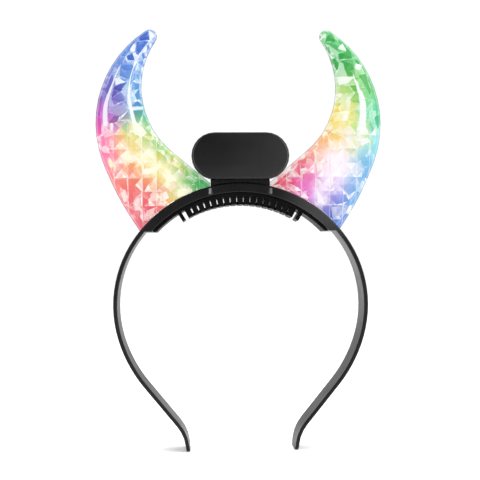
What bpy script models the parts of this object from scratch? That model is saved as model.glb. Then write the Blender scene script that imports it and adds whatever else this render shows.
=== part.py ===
"""Light-up devil horns headband, modelled in metres with +Z up.

The headband stands on its two foot tips: the ground is z = 0, the middle plane is x = 0, and the
wearer's face looks along -Y. A thin band bends round the head. Its crown is a channel that a comb
plate closes from below. A battery case stands on the crown behind a pill-shaped front plate, and a
clear, faceted, hollow horn with three lamps in it stands on each side of the case.
"""

import math

import bmesh
import bpy
from mathutils import Matrix, Vector
from mathutils.geometry import intersect_point_line

MM = 0.001
GAP = 0.3 * MM

# Outer line of the band, from the top centre down one side. A length is a straight run.
# name, radius, turn in degrees, length
ARCH = (
    ("crown", 70.2 * MM, 55.0, 0),
    ("side", 63.05 * MM, 51.25, 0),
    ("lower", 73.9 * MM, 23.15, 0),
    ("leg", 0, 0, 27.5 * MM),
    ("flare", -20.35 * MM, -31.15, 0),
    ("foot", 0, 0, 3.7 * MM),
)
ARCH_STEP = 4.2 * MM
BAND_DEPTH = 18.0 * MM
BAND_THICK_TOP = 2.4 * MM
BAND_THICK_FOOT = 2.0 * MM
BAND_EDGE = 0.6 * MM
FOOT_CORNER = 4.0 * MM

# The crown's side walls, the channel in it, and its plain middle under the case
CROWN_RADIUS = ARCH[0][1]
WALL_RADIUS = 65.0 * MM
CROWN_END_Z = 118.5 * MM
CROWN_STEP_DEG = 3.0
CHANNEL_ROOF = 68.0 * MM
CHANNEL_HALF_DEPTH = 7.2 * MM
CHANNEL_HALF_DEG = 44.5
MIDDLE_HALF_WIDTH = 15.6 * MM
MIDDLE_SETBACK = 0.9 * MM
STEP_ROUND = 1.6 * MM

# Comb plate, its row of teeth and the single tooth past each end
PLATE_INNER = 63.2 * MM
PLATE_OUTER = WALL_RADIUS - GAP
PLATE_HALF_DEPTH = 7.8 * MM
RIB_HEIGHT = 1.2 * MM
RIB_HALF_DEPTH = CHANNEL_HALF_DEPTH - GAP
RIB_HALF_DEG = CHANNEL_HALF_DEG - 1.5
TEETH_TIP = 58.45 * MM
TEETH_HALF_DEPTH = 7.2 * MM
TEETH_IN_ROW = 17
TEETH_PITCH_DEG = 3.38
ROW_HALF_DEG = 28.6
SLOT_WIDTH = 0.85 * MM
SLOT_TOP = PLATE_INNER - 0.3 * MM
TIE_RADIUS = 60.1 * MM
TIE_HALF_DEPTH = 3.0 * MM
END_TOOTH_DEG = 31.4
END_TOOTH_WIDTH = 2.0 * MM

# Front plate and battery case
PILL_WIDTH = 52.7 * MM
PILL_HEIGHT = 25.1 * MM
PILL_BOTTOM_Z = 146.6 * MM
PILL_FRONT_Y = -12.6 * MM
PILL_DEPTH = 6.0 * MM
PILL_WALL = 1.6 * MM
PILL_EDGE = 0.9 * MM
CASE_HALF_WIDTH = 16.0 * MM
NECK_FRONT_Y = -8.1 * MM
CASE_BACK_Y = 12.6 * MM
CASE_TOP_Z = 168.5 * MM
CASE_CORNER = 4.0 * MM
CASE_EDGE = 0.8 * MM
FLANGE_FRONT_Y = -8.4 * MM

# Horn outline, for the horn on the +X side: circle centres, radii, and where each arc ends
HORN_OUTER_CENTRE = Vector((17.7 * MM, 0, 178.3 * MM))
HORN_OUTER_RADIUS = 61.0 * MM
HORN_OUTER_END_DEG = -20.0
HORN_FOOT_RADIUS = 160.0 * MM
HORN_FOOT_END_DEG = -34.4
HORN_INNER_CENTRE = Vector((7.7 * MM, 0, 198.0 * MM))
HORN_INNER_END_DEG = -51.0
HORN_TIP_RADIUS = 4.0 * MM
HORN_TIP_DEG = 57.0
HORN_INNER_RUN = 25.7 * MM
HORN_OVERRUN = 14.0 * MM

# Horn body: half depth rises from the edge towards HORN_HALF_DEPTH, within about HORN_SWELL
HORN_HALF_DEPTH = 8.4 * MM
HORN_SWELL = 6.5 * MM
HORN_WALL = 1.6 * MM
HORN_WALL_ACROSS = 2.6 * MM
THINNEST = 0.6 * MM
RIM_BAND = 2.6 * MM
MERGE = 0.02 * MM
SMALL_CELL = 4 * MM * MM
# Share of the horn's length where the lattice starts, and where the inner bevel starts to fade
LATTICE_START = 0.5
FADE_START = 0.36
BEVEL_STEPS = 9
HOLLOW_START = 0.05
HOLLOW_END = 1.95
# Share of the horn's width at which the long bevels of the upper half begin and end
BEVEL_SHARES = {"rim": 0.12, "outer": 0.27, "inner": 0.66, "inner_rim": 0.76}

# The lower half's lattice of pyramids. Each horn's columns start at their own place.
CELL = 7.7 * MM
COLUMN_START = {"left": 37.6 * MM, "right": 33.2 * MM}
ROW_START = 132.5 * MM
# How far a facet's middle stands out, as a share of the facet's size
CELL_RELIEF = 0.19
BEVEL_RELIEF = 0.08

LAMP_RADIUS = 2.4 * MM
LAMP_HEIGHT = 4.5 * MM
LAMP_DOME = 2.1 * MM
LAMP_DEGREES = (24.0, 32.5, 41.0)

BLACK = (0.018, 0.018, 0.02)
PLATE_BLACK = (0.022, 0.022, 0.024)
CLEAR_LEFT = (0.93, 0.62, 0.66)
CLEAR_RIGHT = (0.74, 0.72, 0.94)
LAMP_WHITE = (0.98, 0.97, 0.9)


def turn_point(centre, radius, degrees):
    """Point at an angle on a circle in the XZ plane, counted from +X towards +Z."""
    angle = math.radians(degrees)
    return centre + Vector((radius * math.cos(angle), 0, radius * math.sin(angle)))


def arch_points():
    """Points of the band's outer line from the top centre to the foot, each with its outward normal."""
    found, place, heading = [(Vector((0, 0, 0)), Vector((0, 0, 1)))], Vector((0, 0, 0)), 0.0
    for name, radius, turn, length in ARCH:
        run = abs(radius * math.radians(turn)) + length
        step_length = CROWN_RADIUS * math.radians(CROWN_STEP_DEG) if name == "crown" else ARCH_STEP
        steps = 1 if not radius else max(2, round(run / step_length))
        for _ in range(steps):
            after = heading + math.radians(turn) / steps
            if radius:
                place = place + Vector((
                    radius * (math.sin(after) - math.sin(heading)), 0,
                    radius * (math.cos(after) - math.cos(heading)),
                ))
            else:
                place = place + Vector((math.cos(heading), 0, -math.sin(heading))) * length
            heading = after
            found.append((place.copy(), Vector((math.sin(heading), 0, math.cos(heading)))))
    drop = -place.z
    return [(point + Vector((0, 0, drop)), normal) for point, normal in found]


ARCH_LINE = arch_points()
TOP_Z = ARCH_LINE[0][0].z
CENTRE = Vector((0, 0, TOP_Z - CROWN_RADIUS))


def crown_point(radius, degrees, y=0.0):
    """Point of the crown at a radius and at an angle from the top, clockwise seen from the front."""
    angle = math.radians(degrees)
    return CENTRE + Vector((radius * math.sin(angle), y, radius * math.cos(angle)))


def end_degrees(radius):
    """Angle at which an arc of the crown meets the level cut at the crown's ends."""
    return math.degrees(math.acos((CROWN_END_Z - CENTRE.z) / radius))


def material(name, color, roughness, metallic=0.0):
    """Principled material of one flat colour."""
    made = bpy.data.materials.get(name) or bpy.data.materials.new(name)
    made.use_nodes = True
    shader = made.node_tree.nodes["Principled BSDF"]
    shader.inputs["Base Color"].default_value = (*color, 1.0)
    shader.inputs["Roughness"].default_value = roughness
    shader.inputs["Metallic"].default_value = metallic
    return made


def add_object(name, bm, finish=None, smooth_degrees=None):
    """Object made from a bmesh, with its normals turned outward."""
    bmesh.ops.recalc_face_normals(bm, faces=bm.faces)
    mesh = bpy.data.meshes.new(name)
    bm.to_mesh(mesh)
    bm.free()
    made = bpy.data.objects.new(name, mesh)
    bpy.context.scene.collection.objects.link(made)
    if finish:
        mesh.materials.append(finish)
    if smooth_degrees:
        mesh.shade_smooth()
        mesh.set_sharp_from_angle(angle=math.radians(smooth_degrees))
    return made


def add_cutter(name, bm):
    """Object that only cuts others."""
    made = add_object(name, bm)
    made.hide_render = True
    made.display_type = "WIRE"
    return made


def add_boolean(target, other, operation="DIFFERENCE"):
    """Exact Boolean modifier."""
    modifier = target.modifiers.new(operation.title(), "BOOLEAN")
    modifier.operation = operation
    modifier.object = other
    modifier.solver = "EXACT"


def extrude(bm, faces, way):
    """Solid grown from flat faces along a vector. Returns the points that moved."""
    grown = bmesh.ops.extrude_face_region(bm, geom=faces)["geom"]
    moved = [item for item in grown if isinstance(item, bmesh.types.BMVert)]
    bmesh.ops.translate(bm, verts=moved, vec=way)
    return moved


def prism(bm, outline, front_y, back_y):
    """Straight solid between two depths from an outline in the XZ plane. Returns its front."""
    face = bm.faces.new([bm.verts.new((point.x, front_y, point.z)) for point in outline])
    extrude(bm, [face], (0, back_y - front_y, 0))
    return face


def crown_arc(inner, outer, half_degrees, half_depth, steps, cut_level=False):
    """Arched bar round the crown's centre. A level cut ends it at the crown's end height."""
    bm = bmesh.new()
    ends = [(end_degrees(radius) if cut_level else half_degrees) for radius in (outer, inner)]
    outline = []
    for radius, end, direction in ((outer, ends[0], 1), (inner, ends[1], -1)):
        for step in range(steps + 1):
            outline.append(crown_point(radius, direction * end * (2 * step / steps - 1)))
    count = steps + 1
    verts = [bm.verts.new((point.x, -half_depth, point.z)) for point in outline]
    for index in range(steps):
        bm.faces.new((verts[index], verts[index + 1], verts[2 * count - 2 - index],
                      verts[2 * count - 1 - index]))
    extrude(bm, bm.faces[:], (0, 2 * half_depth, 0))
    return bm


def band_sections():
    """Outer and inner point of each section of half the band, top centre first."""
    crown_end = end_degrees(WALL_RADIUS)
    band_inner = CROWN_RADIUS - BAND_THICK_TOP
    jog = end_degrees(band_inner)
    steps = round(crown_end / CROWN_STEP_DEG)
    middle = math.degrees(math.asin(MIDDLE_HALF_WIDTH / CROWN_RADIUS))
    rounding = math.degrees(STEP_ROUND / CROWN_RADIUS)
    angles = {crown_end * step / steps for step in range(steps + 1)}
    angles = {angle for angle in angles if not middle - 1 < angle < middle + rounding + 1}
    angles |= {middle + rounding * part / 4 for part in range(5)}
    sections = [(crown_point(CROWN_RADIUS, angle), crown_point(WALL_RADIUS, angle))
                for angle in sorted(angles)]
    sections.append((crown_point(CROWN_RADIUS, jog), crown_point(band_inner, jog)))
    rest = [(point, normal) for point, normal in ARCH_LINE
            if point.z < sections[-1][0].z - 1.5 * MM]
    for place, (point, normal) in enumerate(rest):
        share = place / (len(rest) - 1)
        thick = BAND_THICK_TOP + (BAND_THICK_FOOT - BAND_THICK_TOP) * share
        inner = point - normal * thick
        if place == len(rest) - 1:
            inner.z = 0.0
        sections.append((point, inner))
    return sections, middle, rounding


def make_headband(finish):
    """Band, legs and crown in one piece, with a channel under the crown and a set-back middle."""
    sections, middle, rounding = band_sections()
    half = BAND_DEPTH / 2
    bm = bmesh.new()
    rows = [[bm.verts.new((point.x, -half, point.z)) for point in pair] for pair in sections]
    for above, below in zip(rows, rows[1:]):
        bm.faces.new((above[0], below[0], below[1], above[1]))
    extrude(bm, bm.faces[:], (0, BAND_DEPTH, 0))
    bmesh.ops.recalc_face_normals(bm, faces=bm.faces)
    centre_faces = [face for face in bm.faces if all(abs(vert.co.x) < 1e-7 for vert in face.verts)]
    bmesh.ops.delete(bm, geom=centre_faces, context="FACES_ONLY")
    rims = [edge for edge in bm.edges if edge.is_manifold and edge.calc_face_angle() > 1.0
            and abs(edge.verts[0].co.y + edge.verts[1].co.y) > BAND_DEPTH - MERGE]
    bmesh.ops.bevel(bm, geom=rims, offset=BAND_EDGE, segments=2, profile=0.5, affect="EDGES",
                    material=-1)
    for vert in bm.verts:
        if vert.co.z > CENTRE.z:
            set_back = MIDDLE_SETBACK * (1 - step_share(vert.co, middle, rounding))
            vert.co.y *= (half - set_back) / half
    band = add_object("headband", bm, finish, smooth_degrees=30)
    mirror = band.modifiers.new("Mirror", "MIRROR")
    mirror.merge_threshold = 0.00001
    cutter = crown_arc(CROWN_RADIUS - 16 * MM, CHANNEL_ROOF, CHANNEL_HALF_DEG,
                       CHANNEL_HALF_DEPTH, 30)
    add_foot_corners(cutter)
    add_boolean(band, add_cutter("band_cutter", cutter))
    return band


def step_share(point, middle, rounding):
    """0 on the crown's set-back middle, 1 past the rounded step beside it."""
    degrees = math.degrees(math.atan2(point.x, point.z - CENTRE.z))
    share = min(1.0, max(0.0, (degrees - middle) / rounding))
    return math.sin(share * math.pi / 2)


def add_foot_corners(bm):
    """Cutters that round the front and back corners of both feet, seen from the side."""
    reach, half = 60 * MM, BAND_DEPTH / 2
    for side in (-1, 1):
        corner = (side * (half + MM), -MM)
        arc = [(side * (half - FOOT_CORNER * (1 - math.sin(turn))),
                FOOT_CORNER * (1 - math.cos(turn)))
               for turn in (math.radians(15 * step) for step in range(7))]
        outline = [corner, (side * (half - FOOT_CORNER), -MM), *arc,
                   (side * (half + MM), FOOT_CORNER)]
        face = bm.faces.new([bm.verts.new((-reach, y, z)) for y, z in outline])
        extrude(bm, [face], (2 * reach, 0, 0))


def make_comb(finish):
    """Curved plate that closes the crown's channel: a rib above it, grip teeth and end teeth below."""
    plate = crown_arc(PLATE_INNER, PLATE_OUTER, 0, PLATE_HALF_DEPTH, 32, cut_level=True)
    comb = add_object("comb", plate, finish, smooth_degrees=30)
    row = crown_arc(TEETH_TIP, PLATE_INNER + 0.6 * MM, ROW_HALF_DEG, TEETH_HALF_DEPTH, 17)
    add_boolean(comb, add_cutter("row_shape", row), "UNION")
    rib = crown_arc(PLATE_OUTER - 0.5 * MM, PLATE_OUTER + RIB_HEIGHT, RIB_HALF_DEG,
                    RIB_HALF_DEPTH, 24)
    add_boolean(comb, add_cutter("rib_shape", rib), "UNION")
    for side in (-1, 1):
        tooth = bmesh.new()
        bmesh.ops.create_cube(tooth, size=1.0)
        length = PLATE_INNER + 0.6 * MM - TEETH_TIP
        size = (END_TOOTH_WIDTH, 2 * TEETH_HALF_DEPTH, length)
        bmesh.ops.scale(tooth, verts=tooth.verts, vec=size)
        place_on_crown(tooth, tooth.verts, TEETH_TIP + length / 2, side * END_TOOTH_DEG)
        add_boolean(comb, add_cutter(f"end_tooth_{side}", tooth), "UNION")
    add_boolean(comb, add_cutter("slot_cutter", comb_slots()))
    return comb


def comb_slots():
    """Cutters between the teeth. They leave a thin tie across the middle of the teeth's tips."""
    bm = bmesh.new()
    deep, low = TEETH_HALF_DEPTH + MM, TEETH_TIP - MM
    outline = ((-deep, SLOT_TOP), (deep, SLOT_TOP), (deep, low), (TIE_HALF_DEPTH, low),
               (TIE_HALF_DEPTH, TIE_RADIUS), (-TIE_HALF_DEPTH, TIE_RADIUS),
               (-TIE_HALF_DEPTH, low), (-deep, low))
    for slot in range(TEETH_IN_ROW - 1):
        degrees = (slot - (TEETH_IN_ROW - 2) / 2) * TEETH_PITCH_DEG
        verts = [bm.verts.new((-SLOT_WIDTH / 2, y, radius)) for y, radius in outline]
        moved = extrude(bm, [bm.faces.new(verts)], (SLOT_WIDTH, 0, 0))
        place_on_crown(bm, verts + moved, 0, degrees)
    return bm


def place_on_crown(bm, verts, radius, degrees):
    """Move points modelled round the origin, with +Z outward, to a place on the crown."""
    turn = Matrix.Rotation(math.radians(degrees), 4, "Y")
    shift = Matrix.Translation((0, 0, radius))
    bmesh.ops.transform(bm, matrix=Matrix.Translation(CENTRE) @ turn @ shift, verts=verts)


def pill_outline(inset, steps=12):
    """Stadium outline of the front plate, drawn in by an inset."""
    radius = PILL_HEIGHT / 2 - inset
    centre_z = PILL_BOTTOM_Z + PILL_HEIGHT / 2
    reach = (PILL_WIDTH - PILL_HEIGHT) / 2
    points = []
    for side, start in ((1, -90), (-1, 90)):
        centre = Vector((side * reach, 0, centre_z))
        points += [turn_point(centre, radius, start + 180 * step / steps)
                   for step in range(steps + 1)]
    return points


def make_face_plate(finish):
    """Blank pill-shaped front plate: a shallow cap, open at its back."""
    bm = bmesh.new()
    front = prism(bm, pill_outline(0), PILL_FRONT_Y, PILL_FRONT_Y + PILL_DEPTH)
    bmesh.ops.recalc_face_normals(bm, faces=bm.faces)
    back = max(bm.faces, key=lambda face: face.calc_center_median().y)
    bmesh.ops.bevel(bm, geom=front.edges[:], offset=PILL_EDGE, segments=3, profile=0.5,
                    affect="EDGES", material=-1)
    bmesh.ops.inset_region(bm, faces=[back], thickness=PILL_WALL, use_even_offset=True)
    bmesh.ops.translate(bm, verts=extruded(bm, back), vec=(0, PILL_WALL - PILL_DEPTH, 0))
    return add_object("face_plate", bm, finish, smooth_degrees=35)


def extruded(bm, face):
    """Extrude one face in place, drop the old face, and return the new face's points."""
    grown = bmesh.ops.extrude_face_region(bm, geom=[face])["geom"]
    bmesh.ops.delete(bm, geom=[face], context="FACES_ONLY")
    return [item for item in grown if isinstance(item, bmesh.types.BMVert)]


def make_battery_case(finish):
    """Case between the horns: its arched foot stands on the crown, its flange fills the plate."""
    seat = CROWN_RADIUS + GAP
    reach = math.degrees(math.asin(CASE_HALF_WIDTH / seat))
    outline = [crown_point(seat, reach * (1 - step / 4)) for step in range(9)]
    for side, start in ((-1, 180), (1, 90)):
        centre = Vector((side * (CASE_HALF_WIDTH - CASE_CORNER), 0, CASE_TOP_Z - CASE_CORNER))
        outline += [turn_point(centre, CASE_CORNER, start - 90 * step / 5) for step in range(6)]
    back_y = PILL_FRONT_Y + PILL_DEPTH
    bm = bmesh.new()
    front = prism(bm, outline, back_y + GAP, CASE_BACK_Y)
    bmesh.ops.bisect_plane(bm, geom=[*front.verts, *front.edges, front],
                           plane_co=(0, 0, PILL_BOTTOM_Z - GAP), plane_no=(0, 0, 1))
    neck = [face for face in bm.faces if face.calc_center_median().z < PILL_BOTTOM_Z
            and all(abs(vert.co.y - back_y - GAP) < 1e-6 for vert in face.verts)]
    moved = extruded(bm, neck[0])
    bmesh.ops.translate(bm, verts=moved, vec=(0, NECK_FRONT_Y - back_y - GAP, 0))
    rim = [edge for edge in bm.edges
           if all(abs(vert.co.y - CASE_BACK_Y) < 1e-6 for vert in edge.verts)]
    bmesh.ops.bevel(bm, geom=rim, offset=CASE_EDGE, segments=2, profile=0.5, affect="EDGES",
                    material=-1)
    case = add_object("battery_case", bm, finish, smooth_degrees=35)
    flange = bmesh.new()
    prism(flange, pill_outline(PILL_WALL + GAP), FLANGE_FRONT_Y, back_y + 2 * GAP)
    add_boolean(case, add_cutter("flange_shape", flange), "UNION")
    return case


def horn_edges():
    """The horn's outer and inner edge as points from the tip's end, with the lengths of the tip's
    arc and of both edges."""
    tip = turn_point(HORN_OUTER_CENTRE, HORN_OUTER_RADIUS - HORN_TIP_RADIUS, HORN_TIP_DEG)
    inner_way = tip - HORN_INNER_CENTRE
    inner_radius = inner_way.length - HORN_TIP_RADIUS
    inner_deg = math.degrees(math.atan2(inner_way.z, inner_way.x))
    end_deg = (HORN_TIP_DEG + 180 + inner_deg) / 2
    foot_centre = HORN_OUTER_CENTRE + turn_point(
        Vector(), HORN_OUTER_RADIUS - HORN_FOOT_RADIUS, HORN_OUTER_END_DEG)
    outer = arc_points(tip, HORN_TIP_RADIUS, end_deg, HORN_TIP_DEG)
    outer += arc_points(HORN_OUTER_CENTRE, HORN_OUTER_RADIUS, HORN_TIP_DEG, HORN_OUTER_END_DEG)
    outer += arc_points(foot_centre, HORN_FOOT_RADIUS, HORN_OUTER_END_DEG, HORN_FOOT_END_DEG)
    inner = arc_points(tip, HORN_TIP_RADIUS, end_deg, 180 + inner_deg)
    inner += arc_points(HORN_INNER_CENTRE, inner_radius, inner_deg, HORN_INNER_END_DEG)
    inner.append(run_on(inner, HORN_INNER_RUN))
    tip_run = HORN_TIP_RADIUS * math.radians(end_deg - HORN_TIP_DEG)
    marks = (tip_run, path_length(outer), path_length(inner))
    return [outer + [run_on(outer, HORN_OVERRUN)], inner + [run_on(inner, HORN_OVERRUN)]], marks


def arc_points(centre, radius, start, end):
    """Points about 2 degrees apart along an arc, both ends among them."""
    steps = max(8, round(abs(end - start) / 2))
    return [turn_point(centre, radius, start + (end - start) * step / steps)
            for step in range(steps + 1)]


def run_on(points, length):
    """Point straight on past the end of a line."""
    return points[-1] + (points[-1] - points[-2]).normalized() * length


def path_length(points):
    return sum((b - a).length for a, b in zip(points, points[1:]))


def along(points, distance):
    """Point at a distance along a line of points."""
    for a, b in zip(points, points[1:]):
        length = (b - a).length
        if distance <= length:
            return a.lerp(b, distance / length)
        distance -= length
    return points[-1].copy()


def horn_section(edges, marks, share):
    """Outer and inner edge points of one cross line.

    Share is -1 at the tip's end, 0 where the tip's arc ends, 1 at the foot and 2 past it.
    """
    tip_run, *totals = marks
    found = []
    for points, total in zip(edges, totals):
        if share < 0:
            distance = (share + 1) * tip_run
        elif share <= 1:
            distance = tip_run + share * (total - tip_run)
        else:
            distance = total + (share - 1) * HORN_OVERRUN
        found.append(along(points, distance))
    return found


def swell(distance):
    """Half depth of the horn at a distance from its edge."""
    return HORN_HALF_DEPTH * (1 - math.exp(-distance / HORN_SWELL))


def edge_distance(point, edges):
    """Distance in the XZ plane to the nearer edge of the horn."""
    flat = Vector((point.x, 0, point.z))
    found = []
    for points in edges:
        for a, b in zip(points, points[1:]):
            share = min(1.0, max(0.0, intersect_point_line(flat, a, b)[1]))
            found.append((flat - a.lerp(b, share)).length)
    return min(found)


def horn_lines(edges, marks, shares):
    """The horn's long lines from tip to foot: seam, rim bands and bevels, as rows of points."""
    rows = []
    for share in shares:
        outer, inner = horn_section(edges, marks, share)
        width = (inner - outer).length
        fade = min(1.0, max(0.0, (share - FADE_START) / (LATTICE_START - FADE_START)))
        rim = min(BEVEL_SHARES["rim"], RIM_BAND / max(width, RIM_BAND))
        inner_rim = BEVEL_SHARES["inner_rim"] * (1 - fade) + (1 - rim) * fade
        places = (0, rim, BEVEL_SHARES["outer"], BEVEL_SHARES["inner"], inner_rim, 1)
        rows.append([outer.lerp(inner, place) for place in places])
    return rows


def make_horn(side, finish):
    """Clear hollow horn: long bevels above, a lattice of pyramids below, open at its foot."""
    edges, marks = horn_edges()
    upper = [-1.0, -0.6, -0.25] + [LATTICE_START * step / BEVEL_STEPS
                                   for step in range(BEVEL_STEPS + 1)]
    lower = [LATTICE_START + (1 - LATTICE_START) * step / BEVEL_STEPS
             for step in range(1, BEVEL_STEPS + 1)]
    rows = horn_lines(edges, marks, upper + lower + [2.0])
    split = len(upper) - 1
    bm = bmesh.new()
    verts = [[bm.verts.new(point) for point in row] for row in rows]
    fields, reliefs = [], []
    for index, (above, below) in enumerate(zip(verts, verts[1:])):
        for column in range(5) if index < split else (0, 4):
            corners = (above[column], above[column + 1], below[column + 1], below[column])
            face = bm.faces.new(corners)
            if column in (2, 4) and index < split:
                fields.append(face)
                reliefs.append(BEVEL_RELIEF)
    lattice = bm.faces.new(
        verts[split][1:5] + [row[4] for row in verts[split + 1:]]
        + [row[1] for row in reversed(verts[split + 1:])])
    cells = cut_lattice(bm, lattice, COLUMN_START[side])
    fields += cells
    reliefs += [CELL_RELIEF] * len(cells)
    bmesh.ops.remove_doubles(bm, verts=bm.verts, dist=MERGE)
    relief = {}
    for face, share in zip(fields, reliefs):
        if face.is_valid and face.calc_area() > SMALL_CELL:
            height = share * math.sqrt(face.calc_area())
            made = bmesh.ops.poke(bm, faces=[face], offset=0, center_mode="MEAN")
            relief[made["verts"][0]] = height
    swell_out(bm, edges, 0, relief)
    if side == "left":
        bmesh.ops.scale(bm, verts=bm.verts, vec=(-1, 1, 1))
    horn = add_object(f"horn_{side}", bm, finish)
    add_boolean(horn, add_cutter(f"horn_{side}_hollow", horn_hollow(edges, marks, side)))
    return horn


def swell_out(bm, edges, wall, relief):
    """Swell a flat horn shape towards the front, inside its open rim, and mirror it to the back."""
    bmesh.ops.triangulate(bm, faces=bm.faces)
    rim = {vert for edge in bm.edges if edge.is_boundary for vert in edge.verts}
    for vert in bm.verts:
        if vert not in rim:
            half = max(swell(edge_distance(vert.co, edges)) - wall, THINNEST)
            vert.co.y = -half - relief.get(vert, 0)
    bmesh.ops.mirror(bm, geom=bm.verts[:] + bm.edges[:] + bm.faces[:], matrix=Matrix(),
                     merge_dist=MERGE / 10, axis="Y")


def cut_lattice(bm, face, column_start):
    """Cut one flat face along the lattice's columns and rows, and return its pieces."""
    region = {face}
    cuts = [((column_start + CELL * step, 0, 0), (1, 0, 0)) for step in range(-4, 7)]
    cuts += [((0, 0, ROW_START + CELL * step), (0, 0, 1)) for step in range(-4, 8)]
    for place, normal in cuts:
        geom = {item for piece in region for item in (piece, *piece.edges, *piece.verts)}
        before = set(bm.faces)
        made = bmesh.ops.bisect_plane(bm, geom=list(geom), dist=1e-7, plane_co=place,
                                      plane_no=normal)
        region |= {item for item in made["geom"] if isinstance(item, bmesh.types.BMFace)}
        region |= set(bm.faces) - before
        region = {piece for piece in region if piece.is_valid}
    return list(region)


def horn_hollow(edges, marks, side):
    """Smooth inner form of a horn, drawn in by its wall, which runs out through the foot."""
    bm = bmesh.new()
    rows, ends = [], []
    for share in (HOLLOW_START, HOLLOW_END):
        outer, inner = horn_section(edges, marks, share)
        ends.append(bm.verts.new(outer.lerp(inner, 0.5)))
    for share in [0.1 + 0.1 * step for step in range(10)] + [1.6]:
        outer, inner = horn_section(edges, marks, share)
        wall = HORN_WALL_ACROSS / (inner - outer).length
        places = [wall + (1 - 2 * wall) * part for part in (0, 0.18, 0.5, 0.82, 1)]
        rows.append([bm.verts.new(outer.lerp(inner, place)) for place in places])
    for above, below in zip(rows, rows[1:]):
        for column in range(4):
            bm.faces.new((above[column], above[column + 1], below[column + 1], below[column]))
    for row, end in zip((rows[0], rows[-1]), ends):
        for corners in zip(row, row[1:]):
            bm.faces.new((*corners, end))
    swell_out(bm, edges, HORN_WALL, {})
    if side == "left":
        bmesh.ops.scale(bm, verts=bm.verts, vec=(-1, 1, 1))
    return bm


def seat_cutter():
    """What the crown, the case and the front plate take away from the horns' feet."""
    bm = bmesh.new()
    turn = Matrix.Rotation(math.radians(90), 4, "X")
    bmesh.ops.create_cone(bm, cap_ends=True, segments=120, radius1=CROWN_RADIUS + GAP,
                          radius2=CROWN_RADIUS + GAP, depth=60 * MM,
                          matrix=Matrix.Translation(CENTRE) @ turn)
    seat = add_cutter("seat", bm)
    box = bmesh.new()
    bmesh.ops.create_cube(box, size=1.0)
    bmesh.ops.scale(box, verts=box.verts,
                    vec=(2 * (CASE_HALF_WIDTH + GAP), 50 * MM, 70 * MM))
    bmesh.ops.translate(box, verts=box.verts, vec=(0, 0, TOP_Z))
    add_boolean(seat, add_cutter("seat_box", box), "UNION")
    pill = bmesh.new()
    prism(pill, pill_outline(-GAP), 2 * PILL_FRONT_Y, PILL_FRONT_Y + PILL_DEPTH + GAP)
    add_boolean(seat, add_cutter("seat_pill", pill), "UNION")
    return seat


def make_lamp(side, number, degrees, finish):
    """Domed lamp that stands on the crown inside a horn."""
    bm = bmesh.new()
    bmesh.ops.create_cone(bm, cap_ends=True, segments=12, radius1=LAMP_RADIUS,
                          radius2=LAMP_RADIUS, depth=LAMP_HEIGHT)
    top = max(bm.faces, key=lambda face: face.calc_center_median().z)
    bmesh.ops.bevel(bm, geom=top.edges[:], offset=LAMP_DOME, segments=4, profile=0.5,
                    affect="EDGES", material=-1)
    place_on_crown(bm, bm.verts, CROWN_RADIUS + GAP + LAMP_HEIGHT / 2,
                   -degrees if side == "left" else degrees)
    return add_object(f"lamp_{side}_{number}", bm, finish, smooth_degrees=40)


def clear_scene():
    """Remove whatever the file opened with."""
    for item in list(bpy.data.objects):
        bpy.data.objects.remove(item, do_unlink=True)


def main():
    clear_scene()
    black = material("black_plastic", BLACK, 0.35)
    lamp = material("lamp_lens", LAMP_WHITE, 0.2)
    make_headband(black)
    make_comb(black)
    make_battery_case(black)
    make_face_plate(material("plate_plastic", PLATE_BLACK, 0.4))
    seat = seat_cutter()
    for side, color in (("left", CLEAR_LEFT), ("right", CLEAR_RIGHT)):
        horn = make_horn(side, material(f"clear_{side}", color, 0.08))
        add_boolean(horn, seat)
        for number, degrees in enumerate(LAMP_DEGREES, 1):
            make_lamp(side, number, degrees, lamp)


main()
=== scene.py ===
import math
import random

import bmesh
import bpy
from bpy.props import (
    FloatProperty,
    FloatVectorProperty,
    PointerProperty,
)
from mathutils import Matrix, Vector


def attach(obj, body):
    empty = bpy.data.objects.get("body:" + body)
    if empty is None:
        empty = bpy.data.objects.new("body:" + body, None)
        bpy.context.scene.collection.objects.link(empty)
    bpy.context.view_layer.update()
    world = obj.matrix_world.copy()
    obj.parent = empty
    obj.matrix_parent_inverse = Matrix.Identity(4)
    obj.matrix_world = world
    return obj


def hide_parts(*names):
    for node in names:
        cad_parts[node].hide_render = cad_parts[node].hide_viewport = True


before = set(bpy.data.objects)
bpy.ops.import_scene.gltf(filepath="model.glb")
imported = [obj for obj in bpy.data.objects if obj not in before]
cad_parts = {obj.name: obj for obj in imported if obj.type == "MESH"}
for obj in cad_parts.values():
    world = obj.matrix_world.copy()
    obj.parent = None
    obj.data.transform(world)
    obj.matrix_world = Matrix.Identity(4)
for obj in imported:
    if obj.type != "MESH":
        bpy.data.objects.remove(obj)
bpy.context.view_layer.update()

bl_info = {
    "name": "Light-up devil horns headband",
    "version": (1, 0, 0),
    "blender": (4, 5, 0),
    "location": "3D View > Sidebar > Horns",
    "description": "Finishes of a light-up devil horns headband",
    "category": "Object",
}

MM = 0.001

# Circles of the horn's outer and inner edge in its upper half, as (x, z) and radius in mm
OUTER_CIRCLE = (17.7, 178.3, 61.0)
INNER_CIRCLE = (7.7, 198.0, 44.7)
# The rim band of a horn rises by this much per mm of its width
RIM_SLOPE = 1.065
RIM_BAND_Y = 2.72 * MM
# The lattice of square cells ends at this height in mm; above it, rows follow the outer circle
LATTICE_TOP = 175.5
ROW_DEG = 6.38
STRIP_SHARES = (0.12, 0.27, 0.66, 0.76)
LATTICE_COLUMN = {"left": 37.6, "right": 33.2}
CELL = 7.7
# Front plate's half straight length, end radius and mid height, and the crown's step, in mm
PILL_STRAIGHT = 13.8
PILL_RADIUS = 12.55
PILL_CENTRE_Z = 159.15
STEP_PLACE = (16.5, 140.2)
# Grey of the painted highlights and painted light on the front plate and the crown
PAINTED_LIGHT_GREY = (0.17, 0.17, 0.17, 1.0)
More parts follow.
